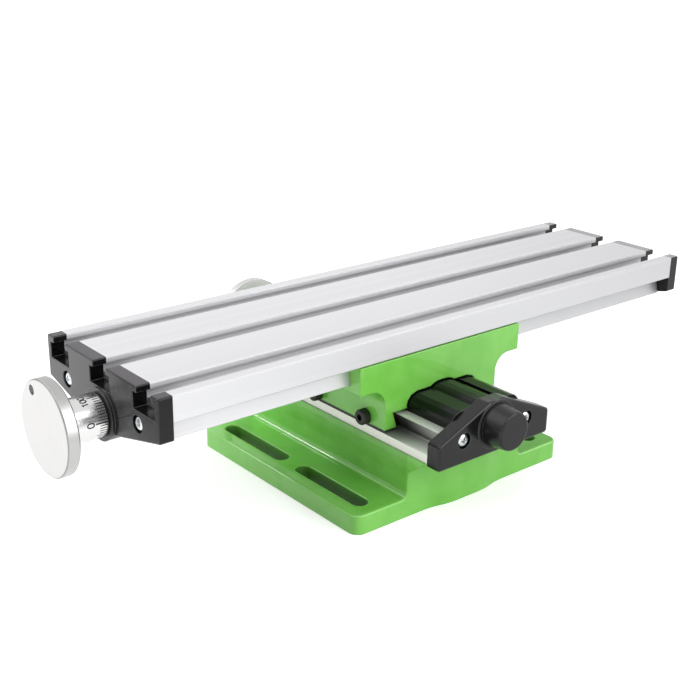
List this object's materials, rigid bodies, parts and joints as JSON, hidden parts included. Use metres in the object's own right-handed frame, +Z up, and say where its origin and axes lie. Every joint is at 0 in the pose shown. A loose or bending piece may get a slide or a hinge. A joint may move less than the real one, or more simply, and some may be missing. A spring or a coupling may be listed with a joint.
{
  "type": "cross slide table",
  "caption": "Small two-axis cross slide table: slotted aluminium table on a green saddle and base, with dovetail slides, screws and handwheels.",
  "frame": {"origin": "centre of the base underside, with the saddle as shown in the picture", "axes": "+X along the table away from its handwheel, +Y along the lower slide towards its handwheel, +Z up"},
  "size_m": [0.3437, 0.1963, 0.079],
  "materials": {
    "green_paint": "satin green enamel",
    "alloy": "satin extruded and turned",
    "black_plastic": "fine-grained moulded black",
    "zinc_screws": "bright zinc plate",
    "dark_screws": "black oxide",
    "ground_steel": "ground steel",
    "brass": "machined brass"
  },
  "bodies": {
    "base": {"base_casting": "green_paint", "y_rail": "alloy", "rail_bolt_1": "dark_screws", "rail_bolt_2": "dark_screws", "rail_bolt_3": "dark_screws", "rail_bolt_4": "dark_screws", "y_screw_cover": "black_plastic", "y_front_cap": "black_plastic", "y_front_plug": "black_plastic", "y_back_cap": "black_plastic", "y_front_cap_screw_left": "zinc_screws", "y_front_cap_screw_right": "zinc_screws", "y_back_cap_screw_left": "zinc_screws", "y_back_cap_screw_right": "zinc_screws", "y_front_bush": "brass", "y_back_bush": "brass"},
    "saddle": {"saddle_casting": "green_paint", "y_gib": "brass", "y_gib_screw_1": "dark_screws", "y_gib_screw_2": "dark_screws", "y_gib_screw_3": "dark_screws", "x_gib": "brass", "x_gib_screw_1": "dark_screws", "x_gib_screw_2": "dark_screws", "x_gib_screw_3": "dark_screws", "x_nut": "brass", "y_nut": "brass", "x_nut_screw_1": "zinc_screws", "x_nut_screw_2": "zinc_screws", "y_nut_screw_1": "zinc_screws", "y_nut_screw_2": "zinc_screws"},
    "table": {"x_table": "alloy", "x_left_cap": "black_plastic", "x_right_cap": "black_plastic", "x_left_cap_screw_front": "zinc_screws", "x_left_cap_screw_back": "zinc_screws", "x_right_cap_screw_front": "zinc_screws", "x_right_cap_screw_back": "zinc_screws", "x_left_bush": "brass", "x_right_bush": "brass"},
    "x_screw": {"x_leadscrew": "ground_steel", "x_thrust_ring": "ground_steel", "x_dial": "alloy", "x_dial_grub": "dark_screws", "x_handwheel": "alloy"},
    "y_screw": {"y_leadscrew": "ground_steel", "y_thrust_ring": "ground_steel", "y_dial": "alloy", "y_dial_grub": "dark_screws", "y_handwheel": "alloy"}
  },
  "joints": [
    {"name": "y_slide", "type": "slide", "parent": "base", "child": "saddle", "axis": [0, 1, 0], "range_m": [-0.025, 0.025]},
    {"name": "x_slide", "type": "slide", "parent": "saddle", "child": "table", "axis": [1, 0, 0], "range_m": [-0.1025, 0.0775]},
    {"name": "x_screw_spin", "type": "hinge", "parent": "table", "child": "x_screw", "pos_m": [0, 0.0032, 0.05785], "axis": [1, 0, 0], "range_deg": [-29520, 22320]},
    {"name": "y_screw_spin", "type": "hinge", "parent": "base", "child": "y_screw", "pos_m": [0, 0.09, 0.0409], "axis": [0, -1, 0], "range_deg": [-7200, 7200]}
  ],
  "couplings": [
    {"joint": "x_screw_spin", "follows": "x_slide", "rad_per_m": 5026.5},
    {"joint": "y_screw_spin", "follows": "y_slide", "rad_per_m": 5026.5}
  ]
}
